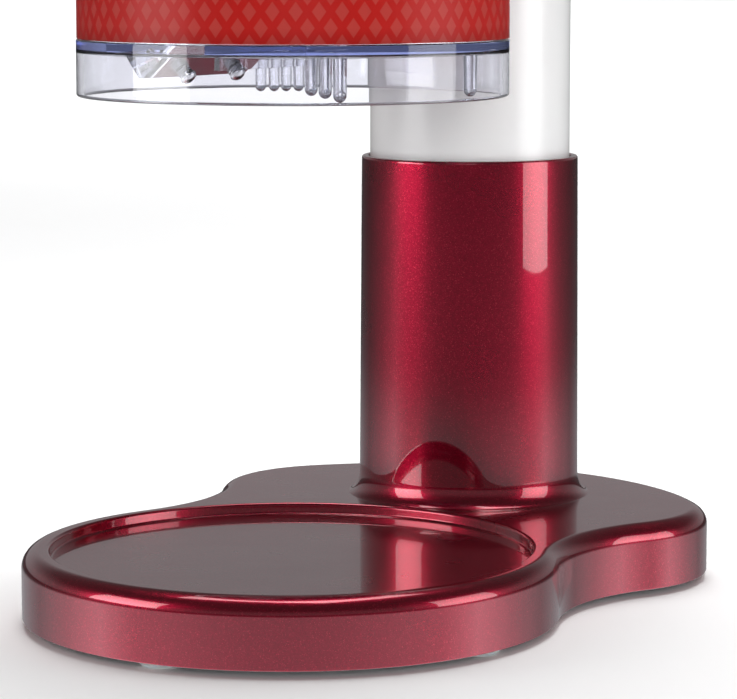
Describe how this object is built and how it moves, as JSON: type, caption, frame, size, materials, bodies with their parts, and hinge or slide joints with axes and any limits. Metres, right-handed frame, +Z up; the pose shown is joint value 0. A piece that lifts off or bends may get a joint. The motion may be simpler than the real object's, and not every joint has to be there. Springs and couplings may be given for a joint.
{
  "type": "shaved ice machine",
  "caption": "Electric shaved ice machine: a motor head on a column holds a clear twist-off ice container above a round tray for a glass.",
  "frame": {"origin": "the table, under the middle of the machine's outline", "axes": "+Z up, -Y towards the user, where the tray is, and +X to the user's right"},
  "size_m": [0.1886, 0.2784, 0.352],
  "materials": {
    "red_paint": "candy red metallic lacquer, high gloss",
    "white_plastic": "gloss white moulding",
    "clear_plastic": "clear moulded plastic",
    "label_print": "printed film with a pattern of small diamonds",
    "dark_plastic": "fine texture",
    "gear_nylon": "as moulded",
    "steel": "bright",
    "bronze": "sintered",
    "brass": "cut",
    "silicone": "translucent, satin",
    "black_rubber": "matt",
    "chrome": "polished"
  },
  "bodies": {
    "body": {"base_shell": "red_paint", "base_plate": "dark_plastic", "base_screw_1": "steel", "base_screw_2": "steel", "base_screw_3": "steel", "base_screw_4": "steel", "foot_1": "silicone", "foot_2": "silicone", "foot_3": "silicone", "foot_4": "silicone", "foot_5": "silicone", "inlet_bush": "black_rubber", "internal_lead": "black_rubber", "column_tube": "white_plastic", "column_screw_1": "steel", "column_screw_2": "steel", "head_housing": "white_plastic", "head_cover": "red_paint", "head_screw_1": "steel", "head_screw_2": "steel", "head_screw_3": "steel", "head_screw_4": "steel", "button_bezel": "chrome", "button_spring": "steel", "start_switch": "dark_plastic", "switch_bracket": "steel", "interlock_spring": "steel", "interlock_switch": "dark_plastic", "gear_plate": "gear_nylon", "gear_plate_screw_1": "steel", "gear_plate_screw_2": "steel", "gear_plate_screw_3": "steel", "lower_bush": "bronze", "upper_bush": "bronze", "shaft_seal": "black_rubber", "reduction_pin": "steel", "motor_body": "steel", "motor_end_cap": "dark_plastic", "motor_screw_1": "steel", "motor_screw_2": "steel"},
    "container": {"ice_container": "clear_plastic", "label_sleeve": "label_print", "blade": "steel", "blade_screw_1": "steel", "blade_screw_2": "steel"},
    "drive": {"drive_gear": "gear_nylon", "drive_shaft": "steel", "paddle": "white_plastic"},
    "reduction": {"reduction_gear": "gear_nylon"},
    "rotor": {"motor_shaft": "steel", "motor_pinion": "brass"},
    "button": {"start_button": "white_plastic", "switch_plunger": "silicone"},
    "interlock": {"interlock_pin": "steel"}
  },
  "joints": [
    {"name": "paddle_spin", "type": "hinge", "parent": "body", "child": "drive", "pos_m": [0, -0.0472, 0.27], "axis": [0, 0, 1], "continuous": true},
    {"name": "reduction_spin", "type": "hinge", "parent": "body", "child": "reduction", "pos_m": [0, -0.0097, 0.285], "axis": [0, 0, 1], "continuous": true},
    {"name": "motor_spin", "type": "hinge", "parent": "body", "child": "rotor", "pos_m": [0, 0.0218, 0.29], "axis": [0, 0, 1], "continuous": true},
    {"name": "container_twist", "type": "hinge", "parent": "body", "child": "container", "pos_m": [0, -0.0472, 0.264], "axis": [0, 0, 1], "range_deg": [0, 30]},
    {"name": "interlock_slide", "type": "slide", "parent": "body", "child": "interlock", "axis": [0, 0, 1], "range_m": [-0.0018, 0], "deforming": ["interlock_spring"]},
    {"name": "button_press", "type": "slide", "parent": "body", "child": "button", "axis": [0, 0, -1], "range_m": [0, 0.0035], "stiffness_N_per_m": 700, "springref_m": -0.001, "deforming": ["button_spring"]}
  ],
  "couplings": [
    {"joint": "paddle_spin", "follows": "reduction_spin", "ratio": -0.25},
    {"joint": "motor_spin", "follows": "reduction_spin", "ratio": -3.2},
    {"joint": "interlock_slide", "follows": "container_twist", "m_per_rad": -0.0032468}
  ]
}
